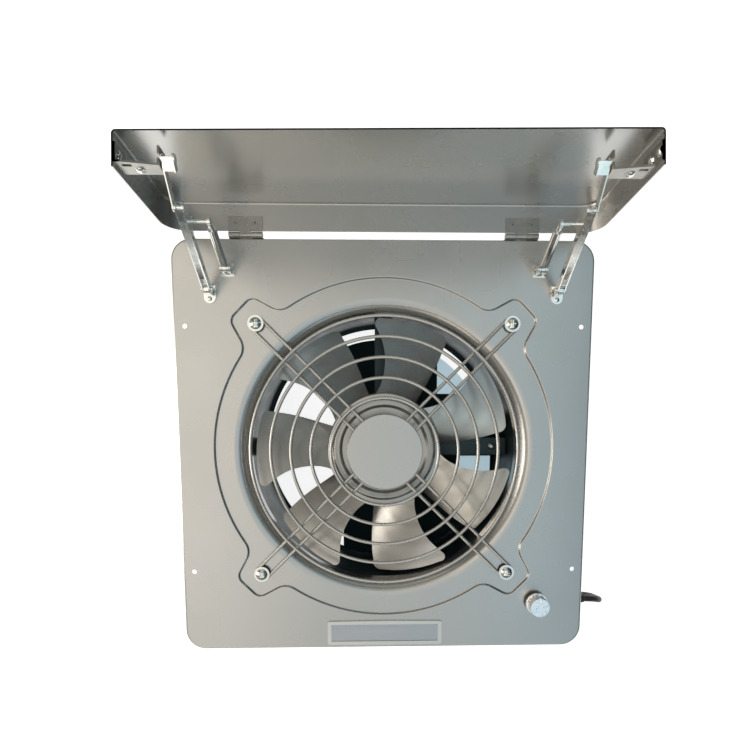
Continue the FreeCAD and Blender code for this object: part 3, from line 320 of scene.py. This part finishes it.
def label_foil():
    """Nameplate: pale bare border round a brushed blue-grey field that carries no lettering."""
    foil = Surface("label_foil", (0.50, 0.52, 0.56), metallic=0.85, roughness=0.3)
    axes = foil.tree.nodes.new("ShaderNodeSeparateXYZ")
    foil.tree.links.new(foil.place, axes.inputs[0])
    low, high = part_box("nameplate")
    within = [math_node(foil.tree, "COMPARE", axes.outputs[axis], (low[axis] + high[axis]) / 2,
                        (high[axis] - low[axis]) / 2 - FOIL_BORDER) for axis in (0, 1)]
    field = math_node(foil.tree, "MULTIPLY", *within)
    grain = foil.noise(140, 3, (0.08, 1, 1))
    shade = math_node(foil.tree, "MULTIPLY", field, math_node(foil.tree, "MULTIPLY_ADD", grain, 0.2, 0.8))
    color = ramp(foil.tree, shade, FOIL_SHADES, 0.0, 1.0)
    foil.tree.links.new(color, foil.shader.inputs["Base Color"])
    foil.polish(grain, 0.06)
    return foil.bump(grain, 0.00004, 0.3).material


def knob_metal():
    metal = Surface("knob_metal", (0.93, 0.92, 0.92), metallic=1.0, roughness=0.08)
    metal.polish(metal.noise(320, 3), 0.04)
    return metal.bump(metal.noise(300, 2), 0.0006, 0.5).material


def guard_wire():
    wire = Surface("guard_wire", (0.62, 0.60, 0.57), metallic=0.75, roughness=0.3)
    wire.polish(wire.noise(160, 3), 0.06)
    return wire.bump(wire.noise(900, 2), 0.00004, 0.2).material


def duct_paint():
    paint = Surface("duct", (0.04, 0.058, 0.064), metallic=0.55, roughness=0.36)
    paint.tint(paint.noise(24, 3), 0.8, 1.3)
    paint.shader.inputs["Specular IOR Level"].default_value = 0.25
    return paint.polish(paint.noise(50, 4), 0.06).material


def plated(name, color, roughness=0.3):
    metal = Surface(name, color, metallic=1.0, roughness=roughness)
    metal.tint(metal.noise(120, 3), 0.9, 1.05)
    metal.polish(metal.noise(300, 3), 0.06)
    return metal.bump(metal.noise(600, 2), 0.00005, 0.2).material


def case_paint():
    paint = Surface("motor_case", (0.06, 0.062, 0.065), metallic=0.3, roughness=0.42)
    paint.polish(paint.noise(80, 4), 0.08)
    return paint.bump(paint.noise(700, 3), 0.0001, 0.3).material


def laminated_steel():
    steel = Surface("core_steel", (0.22, 0.22, 0.23), metallic=0.9, roughness=0.45)
    steel.tint(steel.layers(320), 0.7, 1.1)
    return steel.bump(steel.layers(320), 0.0002, 0.5).material


def copper_wire():
    copper = Surface("copper", (0.62, 0.26, 0.12), metallic=0.95, roughness=0.3, coat=0.5)
    return copper.bump(copper.layers(260), 0.0004, 0.8).material


def dark_plastic():
    plastic = Surface("plastic", (0.03, 0.03, 0.032), roughness=0.5)
    plastic.polish(plastic.noise(300, 3), 0.08)
    return plastic.bump(plastic.noise(800, 2), 0.0001, 0.3).material


def black_rubber():
    rubber = Surface("black_rubber", (0.018, 0.018, 0.019), roughness=0.46)
    rubber.tint(rubber.noise(40, 3), 0.8, 1.5)
    rubber.polish(rubber.noise(400, 3), 0.1)
    return rubber.bump(rubber.noise(1200, 2), 0.00008, 0.3).material


MATERIALS = {
    "painted_panel": satin_paint(),
    "fan_metal": fan_paint(),
    "chrome": chrome(),
    "guard_wire": guard_wire(),
    "duct": duct_paint(),
    "motor_case": case_paint(),
    "hardware": plated("hardware", (0.55, 0.55, 0.54)),
    "core_steel": laminated_steel(),
    "copper": copper_wire(),
    "plastic": dark_plastic(),
    "black_rubber": black_rubber(),
    "brass": plated("brass", (0.70, 0.52, 0.25), 0.25),
    "hinge": plated("hinge", (0.46, 0.45, 0.42), 0.32),
}


def dress_cad_nodes():
    """Each node wears its slot's material, apart from three that need one of their own."""
    slots = {part["node"]: part["material_slot"] for part in frame["record"]["subparts"]}
    special = {"nameplate": label_foil(), "speed_knob": knob_metal(),
               "lid_brackets": plated("bracket_plate", (0.42, 0.41, 0.38), 0.34)}
    for name, node in frame["nodes"].items():
        node.data.materials.clear()
        node.data.materials.append(special.get(name) or MATERIALS[slots[name]])


# ---------------------------------------------------------------- mains lead
CORD_DIAMETER = 0.007
# From inside the box, out through the sleeve and down to the coil's first turn.
ROUTE_MM = [(200, -158, -9), (218, -158, -9), (230, -162.5, -17), (236, -168, -31), (235, -172, -56),
            (223.5, -179, -75), (205, -187, -86.4), (188.5, -194.5, -86.5), (173.5, -199.2, -86.3)]
COIL = (0.158, -0.158)                         # centre in plan
COIL_LOW = FLOOR + 0.001
TURN_RADII = (0.044, 0.037, 0.030)
LOWER_LAYER, UPPER_LAYER = 0.0035, 0.0105      # the lead's centre above COIL_LOW
POINTS_PER_TURN = 14
COIL_START = math.radians(-92)
STEP_INWARD_AFTER = 0.6                        # share of a turn that keeps its radius
WOBBLE = 0.0005


def coil_points():
    """Clockwise from above: three turns inward on the floor and three outward on top of them."""
    points = []
    step = 2 * math.pi / POINTS_PER_TURN
    angle = COIL_START
    for radii, rise in ((TURN_RADII, LOWER_LAYER), (TURN_RADII[::-1], UPPER_LAYER)):
        for lap, start in enumerate(radii):
            end = radii[min(lap + 1, 2)]
            for k in range(POINTS_PER_TURN):
                share = max(0.0, (k / POINTS_PER_TURN - STEP_INWARD_AFTER) / (1 - STEP_INWARD_AFTER))
                radius = start + (end - start) * share
                radius += WOBBLE * math.sin(3 * angle + lap)
                points.append((COIL[0] + radius * math.cos(angle), COIL[1] + radius * math.sin(angle),
                               COIL_LOW + rise))
                angle -= step
    return points


def rise_to_plug():
    """From the top turn, round the coil's +X side and up into the plug's tail."""
    low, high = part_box("mains_plug")
    tail = (high[0], (low[1] + high[1]) / 2, (low[2] + high[2]) / 2)
    level = [(degrees, UPPER_LAYER) for degrees in (242, 205, 170, 135, 100, 65)]
    climb = [(32, 0.0112), (5, 0.0145)]
    sweep = [(COIL[0] + TURN_RADII[0] * math.cos(math.radians(degrees)),
              COIL[1] + TURN_RADII[0] * math.sin(math.radians(degrees)), COIL_LOW + lift)
             for degrees, lift in level + climb]
    return sweep + [(tail[0] + 0.018, tail[1] + 0.010, tail[2] - 0.001),
                    (tail[0] + 0.008, tail[1] + 0.0015, tail[2]),
                    (tail[0] - 0.004, tail[1], tail[2])]


def nurbs(name, points, radius):
    data = bpy.data.curves.new(name, "CURVE")
    data.dimensions = "3D"
    data.bevel_depth = radius
    data.bevel_resolution = 6
    data.resolution_u = 8
    data.use_fill_caps = True
    spline = data.splines.new("NURBS")
    spline.points.add(len(points) - 1)
    for slot, point in zip(spline.points, points):
        slot.co = (*point, 1)
    spline.order_u = 3
    spline.use_endpoint_u = True
    curve = bpy.data.objects.new(name, data)
    bpy.context.collection.objects.link(curve)
    return curve


def finish_piece(piece, body, slot_name):
    piece.data.materials.append(MATERIALS[slot_name])
    if piece.type == "MESH":
        piece.data.shade_smooth()
    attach(piece, body)


def mains_lead():
    free = [tuple(c * MM for c in point) for point in ROUTE_MM]
    points = free + coil_points() + rise_to_plug()
    lead = nurbs("mains_lead", points, CORD_DIAMETER / 2)
    finish_piece(lead, "housing", "black_rubber")
    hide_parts("power_cord", "cord_coil")
    return lead


def mesh_from(name, builder):
    mesh = bpy.data.meshes.new(name)
    bm = bmesh.new()
    builder(bm)
    bmesh.ops.recalc_face_normals(bm, faces=bm.faces)
    bm.to_mesh(mesh)
    bm.free()
    piece = bpy.data.objects.new(name, mesh)
    bpy.context.collection.objects.link(piece)
    return piece


def lathe(bm, outline, segments, matrix):
    """Rings of (radius, distance along +X), closed at both ends."""
    rings = []
    for radius, along in outline:
        ring = [bm.verts.new(matrix @ Vector((along, radius * math.cos(2 * math.pi * k / segments),
                                              radius * math.sin(2 * math.pi * k / segments))))
                for k in range(segments)]
        rings.append(ring)
    for near, far in zip(rings, rings[1:]):
        for k in range(segments):
            bm.faces.new((near[k], near[(k + 1) % segments], far[(k + 1) % segments], far[k]))
    bm.faces.new(rings[0])
    bm.faces.new(rings[-1])


COLLAR_AT = 0.0075           # the sleeve's collar, from the strain relief's inner end
NECK_RADIUS = 0.0044
COLLAR_RADIUS = 0.0062
COLLAR_END = 0.003           # from the collar's start, like the lengths below
FIRST_RIB_AT = 0.0035
FIRST_RIB_RADIUS = 0.0061
RIBS = 6
TAPER = 0.0015               # the last rib is this much smaller than the first
GROOVE = 0.0009              # depth between ribs
PLAIN_ENDS = 0.005           # length without ribs, both ends together


def strain_relief():
    """Tapered sleeve with rounded ribs, round the lead where it leaves the box."""
    low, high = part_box("strain_relief")
    start = low[0] + COLLAR_AT
    length = high[0] - start
    outline = [(NECK_RADIUS, low[0] - start), (NECK_RADIUS, 0.0),
               (COLLAR_RADIUS, 0.0003), (COLLAR_RADIUS, COLLAR_END)]
    for i in range(RIBS):
        at = FIRST_RIB_AT + i * (length - PLAIN_ENDS) / RIBS
        pitch = (length - PLAIN_ENDS) / RIBS
        crest = FIRST_RIB_RADIUS - TAPER * i / (RIBS - 1)
        valley = crest - GROOVE
        outline += [(valley, at), (valley, at + 0.25 * pitch), (crest, at + 0.4 * pitch),
                    (crest, at + 0.8 * pitch), (valley, at + 0.95 * pitch)]
    outline += [(0.0045, length - 0.001), (0.0037, length)]
    centre = ((low[1] + high[1]) / 2, (low[2] + high[2]) / 2)
    place = Matrix.Translation((start, *centre))
    sleeve = mesh_from("strain_relief_sleeve", lambda bm: lathe(bm, outline, 32, place))
    finish_piece(sleeve, "housing", "black_rubber")
    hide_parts("strain_relief")


# ---------------------------------------------------------------- assembly
look_down_camera()
studio()
pale_floor()
dress_cad_nodes()
lead = mains_lead()
strain_relief()
